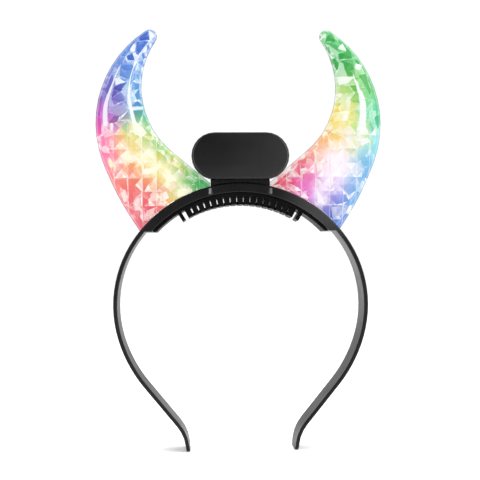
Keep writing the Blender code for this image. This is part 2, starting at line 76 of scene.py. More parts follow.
# How much paler rubbed plastic is
RUBBED_GAIN = 1.7

SIDE_SIGN = {"left": -1, "right": 1}
SEEDS = {"left": 11, "right": 23}
# Faces whose normal has less y than this look to the front
FRONT_NORMAL = -0.05
CUT_TOLERANCE = 0.001 * MM
MERGE_TOLERANCE = 0.004 * MM
SMALL_FACET = 2 * MM * MM
# Added to a row's number, so that all rows count up from above 0
FIRST_ROW = 9
# Lightness of the facets that face the shaded way and the lit way, in each half of a horn: painted
# shade and painted light
UPPER_TONES = (0.56, 0.74)
LOWER_TONES = (0.38, 0.72)
# Share of the lower half's facets that take the other lightness
SWAPPED_SHARE = 0.2
# How far a facet hides the far side's lattice: one cut into the upper or lower half, and a
# plain one of the upper half
CUT_UPPER_FLAT = 1.0
CUT_LOWER_FLAT = 0.7
PLAIN_UPPER_FLAT = 0.4

# Colours of a horn's painted glints, painted highlights along ridges and facet edges, painted
# reflections on ridges, rim line and outline, and how much of its light colours its surface
GLINT = (1.0, 1.0, 0.96, 1.0)
COLUMN_HIGHLIGHT = (1.0, 0.93, 0.88, 1.0)
RIDGE_REFLECTION = (0.96, 0.98, 1.0, 1.0)
RIM_LINE = (0.95, 0.98, 1.0, 1.0)
OUTLINE = (0.36, 0.38, 0.42, 1.0)
SURFACE_SHARE = (0.25, 0.25, 0.25, 1.0)

# Where the studio lights aim, and how the studio's brightness changes around the object
LIGHT_AIM = (0, 0, 0.12)
FRONT_DIMMING = 0.93
TOP_GAIN = 0.2
RIGHT_GAIN = 0.3
BACKDROP_WHITE = 1.05

PALETTE = {
    "blue": (0.37, 0.55, 0.86),
    "sky": (0.42, 0.70, 0.88),
    "cyan": (0.60, 0.88, 0.92),
    "violet": (0.52, 0.44, 0.78),
    "lavender": (0.82, 0.76, 0.98),
    "teal": (0.30, 0.80, 0.62),
    "green": (0.38, 0.78, 0.48),
    "lime": (0.72, 0.88, 0.50),
    "yellow": (0.97, 0.89, 0.45),
    "orange": (0.97, 0.72, 0.48),
    "coral": (0.95, 0.50, 0.52),
    "red": (0.91, 0.38, 0.47),
    "pink": (0.98, 0.42, 0.72),
    "magenta": (0.90, 0.42, 0.82),
    "white": (1.0, 0.97, 0.98),
}

# Coloured light in each horn: hue, distance from the middle plane, height and reach in mm
LEFT_LIGHT = (
    ("blue", 50, 223, 13), ("blue", 62, 206, 10), ("violet", 70, 196, 10),
    ("violet", 67, 184, 8), ("sky", 56, 200, 8), ("sky", 55, 190, 7),
    ("teal", 53, 178, 8), ("magenta", 78, 182, 7), ("pink", 76, 168, 11),
    ("pink", 72, 155, 8), ("yellow", 57, 169, 10), ("orange", 62, 156, 10),
    ("green", 43, 166, 9), ("yellow", 42, 152, 10), ("coral", 58, 141, 12),
    ("red", 55, 126, 12), ("green", 31, 145, 8), ("green", 21, 137, 7),
    ("yellow", 35, 136, 6), ("coral", 44, 134, 9),
)
RIGHT_LIGHT = (
    ("green", 48, 223, 13), ("green", 57, 208, 10), ("green", 70, 196, 9),
    ("lime", 60, 196, 8), ("yellow", 52, 186, 9), ("teal", 75, 181, 7),
    ("yellow", 56, 172, 9), ("orange", 45, 166, 10), ("lime", 64, 172, 7),
    ("coral", 36, 154, 10), ("red", 24, 143, 9), ("magenta", 39, 146, 9),
    ("magenta", 34, 137, 7), ("white", 52, 155, 11), ("lavender", 50, 143, 9),
    ("cyan", 74, 165, 9), ("sky", 70, 152, 9), ("sky", 64, 140, 9),
    ("blue", 52, 127, 10), ("violet", 46, 133, 7),
)
# Bright spots where a lamp shows through: distance from the middle plane, height, reach in mm
LEFT_GLOW = (
    (56, 175, 3), (50, 161, 3.5), (61, 159, 3), (47, 153, 4), (38, 148, 4.5), (32, 140, 4),
    (53, 157, 3), (69, 155, 2.5), (27, 139, 2),
)
RIGHT_GLOW = (
    (50, 157, 4), (43, 140, 4), (53, 152, 5), (44, 135, 4), (66, 169, 3.5), (59, 170, 3),
    (57, 160, 4), (47, 147, 4),
)
GLOW_COLOR = {"left": (1.0, 0.98, 0.85), "right": (0.99, 0.95, 1.0)}
GLOW_STRENGTH = {"left": 0.95, "right": 0.68}
PALE_LOW = (1.0, 0.95, 0.87, 1.0)
PALE_HIGH = {"left": (0.86, 0.97, 1.0, 1.0), "right": (0.94, 1.0, 0.88, 1.0)}
# Painted reflections of the lights along ridges of the upper halves. Each has its share across
# and half width low down, the same high up, the heights in mm between which it passes from one to
# the other, the heights between which it shows, and its strength
LEFT_RIDGE_REFLECTIONS = (
    (0.20, 0.050, 0.27, 0.020, (185, 202), (176, 209), 0.75),
    (0.715, 0.036, 0.655, 0.014, (180, 203), (177, 228), 0.8),
)
RIGHT_RIDGE_REFLECTIONS = ((0.39, 0.070, 0.47, 0.020, (188, 203), (173, 204), 0.85),)
# Flat facets whose outlines are cut into the front, without relief: lightness from 0 deep to
# 1 white, and corners as distance from the middle plane and height in mm
LEFT_SHARDS = (
    (0.0, ((51.3, 228.8), (49.6, 227.4), (48.6, 223.5), (54.5, 222.9), (53.2, 226.7))),
    (0.95, ((49.3, 228.8), (46.6, 227.4), (46.4, 225.9), (48.4, 224.1))),
    (0.2, ((55.8, 222.3), (49.1, 222.7), (51.2, 219.4), (54.5, 215.6), (55.9, 215.4))),
    (1.0, ((57.5, 221.6), (56.1, 220.5), (56.7, 217.0), (58.9, 216.4), (59.3, 218.5))),
    (0.1, ((61.0, 214.3), (57.9, 215.2), (57.0, 212.1), (60.6, 211.9))),
    (0.3, ((64.4, 208.9), (57.4, 209.5), (57.8, 204.0), (60.4, 201.3), (64.9, 203.4))),
    (0.95, ((67.4, 201.9), (65.3, 202.7), (61.9, 199.6), (67.0, 198.1))),
    (0.0, ((68.0, 197.5), (60.9, 199.8), (64.9, 194.4), (69.3, 190.9))),
    (0.8, ((64.3, 194.4), (60.7, 198.9), (60.4, 196.2), (62.0, 191.6))),
    (0.3, ((69.3, 190.7), (65.1, 193.5), (62.1, 190.1), (67.9, 187.2))),
    (0.65, ((70.1, 186.3), (62.0, 187.3), (60.4, 184.3), (65.2, 181.4), (70.9, 183.1))),
    (0.05, ((71.2, 177.6), (67.9, 181.2), (64.6, 181.0), (66.2, 178.1), (68.5, 177.4))),
    (0.35, ((64.4, 179.0), (60.4, 184.0), (59.3, 179.5))),
    (0.0, ((58.2, 184.2), (52.7, 185.3), (53.2, 182.1), (55.0, 177.1), (57.1, 179.3))),
    (0.0, ((58.3, 186.9), (55.6, 190.2), (52.6, 187.7))),
    (0.9, ((57.9, 186.4), (52.6, 187.3), (52.6, 185.8), (58.2, 184.5))),
    (0.25, ((52.5, 183.0), (49.0, 177.3), (51.4, 175.6), (53.2, 179.0))),
    (0.1, ((73.1, 196.1), (69.1, 204.9), (68.2, 200.6), (71.8, 193.1))),
    (0.0, ((78.4, 182.9), (75.5, 180.3), (75.0, 176.8), (75.3, 172.1), (78.6, 172.8))),
    (0.2, ((77.2, 191.8), (74.6, 193.5), (75.3, 184.6), (77.7, 185.1))),
    (0.25, ((56.8, 199.3), (54.5, 200.3), (54.8, 196.9), (57.1, 195.9))),
    (0.2, ((57.1, 193.2), (54.8, 196.9), (53.2, 191.4), (55.7, 190.6))),
    (0.95, ((57.8, 176.1), (52.8, 175.7), (50.4, 172.3), (53.6, 169.5), (57.8, 172.8))),
    (0.9, ((62.4, 159.9), (58.2, 160.2), (54.4, 157.7), (58.7, 155.7), (62.1, 157.0))),
    (0.95, ((53.6, 160.3), (49.0, 163.5), (48.3, 159.9), (52.7, 157.3))),
    (1.0, ((52.8, 152.2), (47.7, 152.8), (42.7, 155.5), (44.3, 151.8), (49.4, 149.4), (52.8, 149.6))),
    (1.0, ((41.8, 149.6), (35.9, 149.2), (34.9, 146.2), (39.3, 145.3))),
    (0.95, ((34.2, 141.0), (29.2, 142.0), (27.6, 140.2), (32.9, 137.7))),
    (0.85, ((65.3, 139.9), (62.4, 142.3), (60.7, 135.5), (63.2, 134.8))),
    (0.85, ((58.2, 135.3), (54.6, 137.0), (53.7, 130.2), (57.4, 130.3))),
    (0.8, ((48.5, 138.6), (45.7, 142.0), (45.7, 135.1), (48.7, 135.0))),
    (0.9, ((43.6, 139.3), (40.1, 140.3), (38.4, 136.8), (41.9, 135.0))),
    (0.8, ((74.2, 173.2), (69.7, 173.7), (67.8, 171.2), (73.4, 169.8))),
    (0.85, ((76.4, 165.1), (72.4, 165.4), (69.9, 161.0), (74.6, 162.2))),
    (0.8, ((50.4, 130.1), (46.1, 131.7), (47.8, 127.2), (51.4, 126.7))),
    (0.05, ((69.5, 146.9), (61.5, 146.9), (61.1, 140.6), (64.1, 142.3))),
    (0.0, ((60.1, 147.2), (53.9, 147.1), (59.9, 139.6))),
    (0.1, ((60.0, 155.7), (55.5, 155.6), (59.6, 151.3))),
    (0.15, ((52.3, 155.6), (46.7, 156.1), (51.9, 152.2))),
    (0.05, ((52.8, 147.1), (48.0, 147.1), (52.3, 139.4))),
    (0.2, ((45.2, 148.8), (41.6, 149.6), (44.8, 143.7))),
    (0.0, ((61.3, 135.5), (58.7, 142.1), (57.5, 134.5))),
    (0.05, ((52.9, 137.8), (49.4, 135.1), (53.0, 131.7))),
    (0.0, ((37.7, 135.0), (32.4, 138.1), (38.8, 132.0))),
    (0.0, ((30.8, 146.2), (25.2, 146.9), (25.7, 144.4), (29.9, 144.5))),
    (0.05, ((27.4, 143.7), (23.9, 143.7), (24.0, 139.8), (26.7, 140.2))),
    (0.0, ((23.1, 147.4), (19.7, 146.6), (20.5, 143.9))),
    (0.1, ((37.9, 160.9), (35.3, 160.7), (37.6, 155.9))),
    (0.1, ((31.7, 155.7), (28.1, 154.6), (30.8, 152.5))),
)
RIGHT_SHARDS = (
    (0.0, ((48.3, 225.0), (50.5, 227.4), (51.8, 227.3), (53.4, 222.6), (48.2, 223.2))),
    (0.9, ((45.7, 226.7), (48.2, 228.1), (48.1, 225.2), (45.9, 225.1))),
    (0.7, ((52.5, 227.9), (56.5, 226.2), (54.8, 223.0), (53.2, 224.3))),
    (0.2, ((56.3, 224.5), (59.8, 221.7), (58.0, 220.5), (55.1, 221.9))),
    (0.25, ((47.5, 222.7), (53.0, 221.9), (54.6, 218.9), (54.1, 217.4), (50.8, 220.4))),
    (0.75, ((50.1, 220.8), (54.6, 216.8), (54.4, 213.7), (51.1, 217.8))),
    (0.0, ((47.1, 222.6), (49.2, 220.2), (51.5, 215.3), (50.0, 216.7))),
    (1.0, ((50.8, 216.4), (52.5, 213.9), (51.3, 213.7))),
    (0.0, ((51.6, 213.2), (53.1, 213.9), (55.1, 211.0), (54.4, 206.8), (52.3, 210.8))),
    (1.0, ((55.0, 219.6), (57.5, 222.1), (59.4, 217.5), (55.4, 218.5))),
    (0.0, ((54.8, 215.8), (59.1, 217.0), (59.4, 219.4), (61.7, 218.2), (62.5, 213.4), (54.9, 212.7))),
    (0.12, ((55.9, 212.1), (62.9, 212.7), (63.4, 202.8), (59.7, 203.1))),
    (0.75, ((54.9, 211.6), (57.3, 210.6), (58.8, 203.4), (53.8, 203.8), (55.2, 207.8))),
    (1.0, ((54.1, 203.6), (63.0, 202.7), (59.7, 199.5), (55.3, 199.0))),
    (0.0, ((60.5, 198.1), (65.5, 198.0), (65.5, 196.3), (63.6, 193.7))),
    (0.7, ((60.7, 199.0), (64.1, 201.4), (65.4, 198.3))),
    (0.45, ((56.0, 198.6), (60.1, 197.8), (62.3, 193.9), (56.0, 194.1))),
    (0.3, ((63.0, 193.3), (66.9, 195.9), (66.9, 189.6), (60.6, 189.8))),
    (0.0, ((65.6, 203.8), (70.1, 205.3), (71.4, 200.0), (73.0, 195.6), (72.1, 193.1), (68.9, 198.5))),
    (0.1, ((64.2, 213.4), (67.5, 212.0), (66.0, 209.9), (64.2, 211.6))),
    (1.0, ((64.4, 210.7), (68.4, 210.2), (66.7, 206.9), (63.8, 207.4))),
    (0.0, ((74.5, 181.1), (78.4, 183.1), (78.4, 179.5), (77.5, 174.9), (75.3, 176.7))),
    (0.1, ((60.6, 189.7), (67.2, 189.2), (66.5, 188.3), (62.1, 188.7))),
    (0.75, ((55.9, 193.1), (58.7, 192.9), (58.5, 184.7), (55.7, 186.1))),
    (0.85, ((48.8, 169.7), (48.6, 163.0), (54.0, 162.3))),
    (1.0, ((49.5, 160.5), (54.1, 155.2), (50.8, 148.3), (49.3, 141.5))),
    (0.85, ((41.3, 158.2), (46.4, 153.5), (42.0, 150.1))),
    (0.85, ((33.5, 150.4), (38.5, 143.2), (34.0, 145.1))),
    (0.95, ((41.4, 141.5), (46.3, 132.8), (41.8, 133.8))),
    (0.0, ((46.5, 137.8), (57.7, 138.3), (59.6, 134.7), (52.4, 132.8))),
    (0.05, ((53.9, 143.2), (62.2, 144.1), (64.6, 140.9), (59.5, 138.2))),
    (0.0, ((41.8, 132.1), (49.2, 131.9), (50.7, 124.5), (44.5, 129.4))),
    (0.7, ((49.6, 131.2), (54.2, 132.1), (59.3, 128.0), (50.2, 125.8))),
    (0.05, ((25.8, 145.1), (32.5, 145.2), (32.6, 141.4))),
    (0.25, ((34.0, 149.4), (40.9, 150.0), (40.6, 136.4), (34.1, 142.8))),
    (0.1, ((73.3, 165.9), (77.6, 167.4), (76.7, 161.2), (72.5, 160.8))),
    (0.1, ((65.6, 157.7), (72.4, 160.0), (73.9, 154.2), (67.6, 153.7))),
    (0.1, ((68.7, 152.9), (73.1, 154.2), (71.2, 147.3), (67.2, 147.8))),
    (0.05, ((36.5, 158.3), (41.4, 160.9), (41.2, 158.0))),
    (0.1, ((49.5, 171.8), (51.3, 172.1), (56.4, 169.6), (53.4, 167.3))),
    (0.1, ((43.3, 169.2), (46.0, 171.8), (46.3, 167.8), (43.6, 165.3))),
    (0.05, ((32.3, 157.6), (36.7, 158.3), (35.5, 153.0), (31.1, 152.2))),
    (0.85, ((57.0, 169.2), (58.6, 169.2), (62.2, 163.8), (60.4, 162.8))),
    (0.9, ((64.7, 168.2), (70.1, 169.2), (72.2, 167.5), (66.5, 164.8))),
    (0.8, ((25.8, 143.5), (32.4, 139.0), (32.5, 137.3), (26.3, 141.7))),
)


def linear(color):
    """Scene-linear value of a screen colour."""
    return tuple(part / 12.92 if part <= 0.04045 else ((part + 0.055) / 1.055) ** 2.4
                 for part in color)


class Value:
    """A number in a node tree. Python operators on it add Math nodes."""

    def __init__(self, nodes, socket):
        self.nodes = nodes
        self.socket = socket

    def math(self, operation, *others, clamp=False):
        made = self.nodes.add("ShaderNodeMath", {"operation": operation, "use_clamp": clamp},
                              {place: item for place, item in enumerate((self, *others))})
        return made.out(0)

    def reflected(self, operation, other):
        made = self.nodes.add("ShaderNodeMath", {"operation": operation}, {0: other, 1: self})
        return made.out(0)

    def __add__(self, other):
        return self.math("ADD", other)

    __radd__ = __add__

    def __sub__(self, other):
        return self.math("SUBTRACT", other)

    def __rsub__(self, other):
        return self.reflected("SUBTRACT", other)

    def __mul__(self, other):
        return self.math("MULTIPLY", other)

    __rmul__ = __mul__

    def __truediv__(self, other):
        return self.math("DIVIDE", other)

    def __rtruediv__(self, other):
        return self.reflected("DIVIDE", other)

    def __pow__(self, other):
        return self.math("POWER", other)

    def __rpow__(self, other):
        return self.reflected("POWER", other)

    def clamped(self):
        return self.math("ADD", 0.0, clamp=True)

    def ramp(self, low, high):
        """0 below low, 1 above high, and smooth between them."""
        made = self.nodes.add("ShaderNodeMapRange", {"interpolation_type": "SMOOTHSTEP"},
                              {"Value": self, "From Min": low, "From Max": high})
        return made.out("Result")

    def band(self, low, high, soft):
        """1 between low and high, with soft edges."""
        return self.ramp(low - soft, low + soft) * (1 - self.ramp(high - soft, high + soft))


class Made:
    """A node that has been added, with its outputs as values."""

    def __init__(self, nodes, node):
        self.nodes = nodes
        self.node = node

    def out(self, name):
        return Value(self.nodes, self.node.outputs[name])


class Nodes:
    """The node tree of one material or world."""

    def __init__(self, tree):
        self.tree = tree

    def add(self, kind, settings=None, inputs=None):
        """A node with its settings, then the values or links of its sockets."""
        node = self.tree.nodes.new(kind)
        for name, setting in (settings or {}).items():
            setattr(node, name, setting)
        for name, item in (inputs or {}).items():
            if isinstance(item, Value):
                self.tree.links.new(item.socket, node.inputs[name])
            else:
                node.inputs[name].default_value = item
        return Made(self, node)

    def mix(self, factor, a, b, blend="MIX"):
        """Colour between a and b."""
        made = self.add("ShaderNodeMix", {"data_type": "RGBA", "blend_type": blend},
                        {0: factor, 6: a, 7: b})
        return made.out(2)

    def vector(self, operation, a, b):
        return self.add("ShaderNodeVectorMath", {"operation": operation}, {0: a, 1: b}).out(0)

    def scale(self, a, factor):
        made = self.add("ShaderNodeVectorMath", {"operation": "SCALE"}, {0: a, "Scale": factor})
        return made.out(0)

    def split(self, vector):
        made = self.add("ShaderNodeSeparateXYZ", inputs={0: vector})
        return made.out(0), made.out(1), made.out(2)

    def place(self):
        """Object coordinates in millimetres."""
        coordinates = self.add("ShaderNodeTexCoord").out("Object")
        return self.scale(coordinates, 1000.0)

    def noise(self, vector, scale, detail=2.0, roughness=0.5):
        return self.add("ShaderNodeTexNoise", {"noise_dimensions": "3D"},
                        {"Vector": vector, "Scale": scale, "Detail": detail,
                         "Roughness": roughness})

    def bump(self, height, strength, distance):
        made = self.add("ShaderNodeBump", inputs={"Height": height, "Strength": strength,
                                                  "Distance": distance})
        return made.out("Normal")


def new_material(name, inputs):
    """Principled material, with its node tree ready for more nodes."""
    made = bpy.data.materials.new(name)
    made.use_nodes = True
    nodes = Nodes(made.node_tree)
    shader = made.node_tree.nodes["Principled BSDF"]
    for socket, value in inputs.items():
        shader.inputs[socket].default_value = value
    return made, nodes, shader


def connect(nodes, shader, links):
    for socket, value in links.items():
        nodes.tree.links.new(value.socket, shader.inputs[socket])


def plate_painted_light(nodes, x, z):
    """Painted highlight inside the front plate's rounded ends, and painted light that makes its right
    side paler.
    """
    beyond = (x.math("ABSOLUTE") - PILL_STRAIGHT).math("MAXIMUM", 0.0)
    height = z - PILL_CENTRE_Z
    inside = PILL_RADIUS - (beyond * beyond + height * height) ** 0.5
    highlight_line = inside.band(0.9, 1.1, 0.2) * beyond.ramp(5.0, 11.0)
    # Painted highlight line, plus painted light that grows paler towards the right
    return highlight_line * 0.5 + x.ramp(-30.0, 45.0) * 0.07


def step_painted_light(nodes, x, z):
    """Painted highlights on the edges of the raised step in the crown's middle, weaker on the right,
    and painted light on the band's upper right side.
    """
    # Painted highlights on the step's rounded edges
    off = (x.math("ABSOLUTE") - STEP_PLACE[0]).math("ABSOLUTE")
    step = (1 - off.ramp(0.3, 0.9)) * z.band(STEP_PLACE[1] - 1.5, STEP_PLACE[1] + 1.5, 0.4)
    step = step * (1.2 - x.ramp(-1.0, 1.0) * 0.5)
    # Painted light that makes the band's upper right side paler
    right_painted_light = x.ramp(16.0, 44.0) * z.ramp(112.0, 126.0)
    return step + right_painted_light * 0.18 - step * right_painted_light * 0.18


def black_plastic(name, settings, shine=1.0, painted_light=None):
    """Moulded black plastic: fine spark grain, faint flow marks and rubbed patches, and, where given,
    painted highlights and painted light.
    """
    made, nodes, shader = new_material(name, {
        "Specular IOR Level": settings.specular * shine,
        "Coat Roughness": 0.22,
    })
    place = nodes.place()
    grain = nodes.noise(place, 3.2, 3.0).out("Fac")
    flow = nodes.noise(nodes.vector("MULTIPLY", place, (0.05, 0.08, 0.16)), 1.0, 2.0).out("Fac")
    rub = nodes.noise(place, 0.06, 4.0, 0.6).out("Fac").ramp(0.35, 0.75)
    dark = (*linear(settings.colour), 1.0)
    pale = (*[part * RUBBED_GAIN for part in linear(settings.colour)], 1.0)
    colour = nodes.mix(flow.ramp(0.3, 0.7) * 0.5 + rub * 0.4, dark, pale)
    # Painted highlights and painted light, where a piece has them
    if painted_light:
        x, _, z = nodes.split(place)
        colour = nodes.mix(painted_light(nodes, x, z), colour, PAINTED_LIGHT_GREY)
    connect(nodes, shader, {
        "Base Color": colour,
        "Roughness": settings.roughness + (grain - 0.5) * 0.10 + rub * 0.07,
        "Coat Weight": (flow * 0.06 + 0.04) * shine,
        "Normal": nodes.bump(grain + flow * 2.0, 0.12, settings.grain_depth),
    })
    return made


def light_colour(nodes, across, up, lights):
    """Soft mixture of the coloured lights at a place in the horn."""
    total, colour = None, None
    for hue, x, z, reach in lights:
        dx, dz = across - x, up - z
        weight = math.e ** ((dx * dx + dz * dz) * (-1.0 / reach ** 2))
        part = nodes.scale(linear(PALETTE[hue]), weight)
        total = weight if total is None else total + weight
        colour = part if colour is None else nodes.vector("ADD", colour, part)
    spare = 0.0005
    colour = nodes.vector("ADD", colour, [spare * part for part in linear(PALETTE["white"])])
    return nodes.scale(colour, 1.0 / (total + spare))


def glow_amount(across, up, glows):
    """How much a lamp shows through at a place in the horn."""
    total = None
    for x, z, reach in glows:
        dx, dz = across - x, up - z
        part = math.e ** ((dx * dx + dz * dz) * (-1.0 / reach ** 2))
        total = part if total is None else total + part
    return total.clamped()


def edge_share(across, up):
    """0 at the outer edge of the horn's upper half and 1 at its inner edge, for numbers or values."""
    found = []
    for x, z, radius in (OUTER_CIRCLE, INNER_CIRCLE):
        dx, dz = across - x, up - z
        found.append((dx * dx + dz * dz) ** 0.5 - radius)
    outer, inner = found[0] * -1.0, found[1]
    return outer / (outer + inner)


def is_inside(place, corners):
    """Whether a place lies inside an outline, seen from the front. The outline may have notches."""
    found = False
    for a, b in zip(corners, corners[1:] + corners[:1]):
        if (a.z > place.z) != (b.z > place.z):
            if place.x < a.x + (b.x - a.x) * (place.z - a.z) / (b.z - a.z):
                found = not found
    return found


def column_offset(across, side):
    """Distance from the nearest line between two columns, as a share of a cell, up to half."""
    return ((across - LATTICE_COLUMN[side]) / CELL + 0.5).math("FRACT") - 0.5


def lattice_light_and_shade(across, up, side):
    """Painted light and shade of a lattice of square pyramids, each facet of a pyramid with its own
    lightness by the way it faces.
    """
    a = column_offset(across, side)
    b = (up / CELL + 0.5).math("FRACT") - 0.5
    sideways = (a.math("ABSOLUTE") - b.math("ABSOLUTE")).ramp(-0.01, 0.01)
    return a.ramp(-0.01, 0.01) * sideways + (0.7 - b.ramp(-0.01, 0.01) * 0.4) * (1 - sideways)


def clear_plastic(name, side, settings, lights, glows, ridge_reflections):
    """Clear faceted plastic with coloured light in it."""
    made, nodes, shader = new_material(name, {
        "Specular IOR Level": 0.12,
        "Coat Roughness": 0.04,
        "Emission Strength": settings.glow,
    })
    place = nodes.place()
    x, y, z = nodes.split(place)
    across = x.math("ABSOLUTE")
    depth = y.math("ABSOLUTE")
    facet = nodes.add("ShaderNodeAttribute", {"attribute_name": "facet"})
    tone, shift, highlight_line = nodes.split(facet.out("Color"))
    flat = facet.out("Alpha")
    loose = 1 - flat

    # Each facet shows another piece of the far side's lattice, with that lattice's painted light and
    # shade
    aside = (shift - 0.5) * loose
    aslant = ((shift * 7.3).math("FRACT") - 0.5) * loose
    far_light_and_shade = lattice_light_and_shade(across + aside * 9.0, z + aslant * 9.0, side)
    near_hue = light_colour(nodes, across + aside * 6.0 + (far_light_and_shade - 0.5) * loose * 3.0,
                            z + aslant * 5.0, lights)
    glow = glow_amount(across + aslant * 3.5, z + aside * 3.5 + (far_light_and_shade - 0.5) * 2.0, glows)

    fine = nodes.noise(place, 0.55, 3.0, 0.6).out("Fac")
    broad = nodes.noise(place, 0.16, 2.0).out("Fac")
    # Painted light and shade of each facet, with the far side's lattice and random variation
    shade = (tone + (far_light_and_shade - 0.5) * loose * 0.3 + (fine - 0.5) * (loose * 0.4 + 0.15)
             + (broad - 0.5) * loose * 0.5)
    high = z.ramp(168.0, 184.0)
    pale = nodes.mix(high, PALE_LOW, PALE_HIGH[side])
    light = nodes.mix(settings.paleness, near_hue, pale)
    deep = nodes.mix((high * 0.5 + 0.5) * settings.depth, near_hue,
                     nodes.mix(1.0, near_hue, near_hue, "MULTIPLY"))
    colour = nodes.mix(shade.ramp(0.0, 0.45), deep, near_hue)
    colour = nodes.mix(shade.ramp(0.45, 1.0), colour, light)
    # Painted glints on the palest facets
    colour = nodes.mix(shade.ramp(0.82, 1.0) * 0.6, colour, GLINT)

    # Painted highlights along the ridges between columns and along each facet's inset border
    step = column_offset(across, side)
    ridge_highlight = (1 - (step.math("ABSOLUTE") * CELL).ramp(0.1, 0.45)) * (1 - z.ramp(168.0, 174.0))
    highlight_strength = (highlight_line * 0.2 + ridge_highlight * 0.4) * (0.25 + broad.ramp(0.35, 0.65) * 0.75)
    colour = nodes.mix(highlight_strength.clamped(), colour, COLUMN_HIGHLIGHT)
    colour = nodes.mix(glow * GLOW_STRENGTH[side], colour, (*linear(GLOW_COLOR[side]), 1.0))

    # Painted reflections of the lights along the ridges of the upper halves
    share = edge_share(across, z)
    for low, low_half, high, high_half, change, ends, strength in ridge_reflections:
        rise = z.ramp(*change)
        off = (share - (low + rise * (high - low))).math("ABSOLUTE")
        off = off / (low_half + rise * (high_half - low_half))
        strip = (1 - off.ramp(0.7, 1.15)) * z.band(*ends, 1.5)
        colour = nodes.mix(strip * strength, colour, RIDGE_REFLECTION)

    edge = depth / RIM_SLOPE
    rim = edge.band(0.6, 1.3, 0.2)
    colour = nodes.mix(rim * 0.22, colour, RIM_LINE)
    outline = 1 - edge.ramp(0.3, 0.65)
    colour = nodes.mix(outline * 0.5, colour, OUTLINE)
    connect(nodes, shader, {
        "Base Color": nodes.mix(1.0, colour, SURFACE_SHARE, "MULTIPLY"),
        "Emission Color": colour,
        "Roughness": 0.10 + fine * 0.08,
        "Coat Weight": 0.15 + (fine - 0.5) * 0.1,
    })
    return made


def lamp_lens(name):
    """Domed lamp lens: milky, with a warm bright core."""
    made, nodes, shader = new_material(name, {"Emission Strength": 1.5, "Coat Roughness": 0.05})
    place = nodes.place()
    milk = nodes.noise(place, 0.8, 2.0).out("Fac")
    colour = nodes.mix(milk, (1.0, 0.96, 0.84, 1.0), (1.0, 1.0, 0.97, 1.0))
    connect(nodes, shader, {
        "Base Color": colour,
        "Emission Color": colour,
        "Roughness": 0.15 + milk * 0.15,
    })
    return made


def merged_copy(node, flat_degrees=0.5):
    """A CAD node's mesh with its doubles merged and its flat faces whole."""
    bm = bmesh.new()
    bm.from_mesh(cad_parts[node].data)
    bmesh.ops.remove_doubles(bm, verts=bm.verts, dist=MERGE_TOLERANCE)
    bmesh.ops.dissolve_limit(bm, angle_limit=math.radians(flat_degrees), verts=bm.verts,
                             edges=bm.edges)
    return bm


def add_piece(name, bm, material, node, smooth_degrees=None):
    """Finished piece that stands for a CAD node and moves with the object."""
    mesh = bpy.data.meshes.new(name)
    bm.to_mesh(mesh)
    bm.free()
    mesh.materials.append(material)
    if smooth_degrees:
        mesh.shade_smooth()
        mesh.set_sharp_from_angle(angle=math.radians(smooth_degrees))
    piece = bpy.data.objects.new(name, mesh)
    bpy.context.scene.collection.objects.link(piece)
    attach(piece, "root")
    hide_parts(node)
    return piece


class BlackPlasticSettings(bpy.types.PropertyGroup):
    """Finish of the band, the comb, the case and the front plate."""

    colour: FloatVectorProperty(
        name="Colour", description="Colour of the plastic, as a screen shows it",
        subtype="COLOR", size=3, min=0.0, max=1.0, default=(0.05, 0.05, 0.053))
    roughness: FloatProperty(
        name="Roughness", description="Mean roughness of the plastic",
        subtype="FACTOR", min=0.0, max=1.0, default=0.36)
    specular: FloatProperty(
        name="Specular", description="Strength of the plastic's reflections",
        subtype="FACTOR", min=0.0, max=1.0, default=0.14)
    grain_depth: FloatProperty(
        name="Grain depth", description="Depth of the moulded grain",
        unit="LENGTH", precision=6, min=0.0, default=0.05 * MM)


class HornSettings(bpy.types.PropertyGroup):
    """Facets and light of the horns."""

    # The bright line is a painted highlight along the facet's edge
    line_width: FloatProperty(
        name="Line width", description="Width of the bright line along a facet's edge",
        unit="LENGTH", precision=5, min=0.0, default=0.18 * MM)
    facet_spread: FloatProperty(
        name="Facet spread", description="How much tone differs between like facets",
        subtype="FACTOR", min=0.0, max=1.0, default=0.35)
    paleness: FloatProperty(
        name="Paleness", description="How near to white a pale facet comes",
        subtype="FACTOR", min=0.0, max=1.0, default=0.66)
    depth: FloatProperty(
        name="Depth", description="How much darker than its light a deep facet is",
        subtype="FACTOR", min=0.0, max=1.0, default=0.75)
    glow: FloatProperty(
        name="Glow", description="Strength of the light that the horns give off",
        min=0.0, max=5.0, default=0.66)


class StageSettings(bpy.types.PropertyGroup):
    """Floor, lights and camera."""

    floor_size: FloatProperty(
        name="Floor size", description="Side of the square floor", unit="LENGTH", default=8.0)
    key_power: FloatProperty(
        name="Key light", description="Power of the softbox on the right", default=9.0)
    fill_power: FloatProperty(
        name="Fill light", description="Power of the softbox on the left", default=3.5)
    top_power: FloatProperty(
        name="Top light", description="Power of the softbox overhead", default=8.0)
    camera_place: FloatVectorProperty(
        name="Camera place", description="Where the camera stands", subtype="TRANSLATION",
        unit="LENGTH", size=3, default=(-0.0218, -0.4593, 0.1063))
    camera_aim: FloatVectorProperty(
        name="Camera aim", description="Point that the camera looks at", subtype="TRANSLATION",
        unit="LENGTH", size=3, default=(0.0046, 0.1000, 0.1156))
    camera_roll: FloatProperty(
        name="Camera roll", description="Turn of the camera about its view line",
        subtype="ANGLE", default=math.radians(-0.5))
    lens: FloatProperty(
        name="Lens", description="Focal length on a 36 mm sensor", unit="CAMERA", default=62.7)


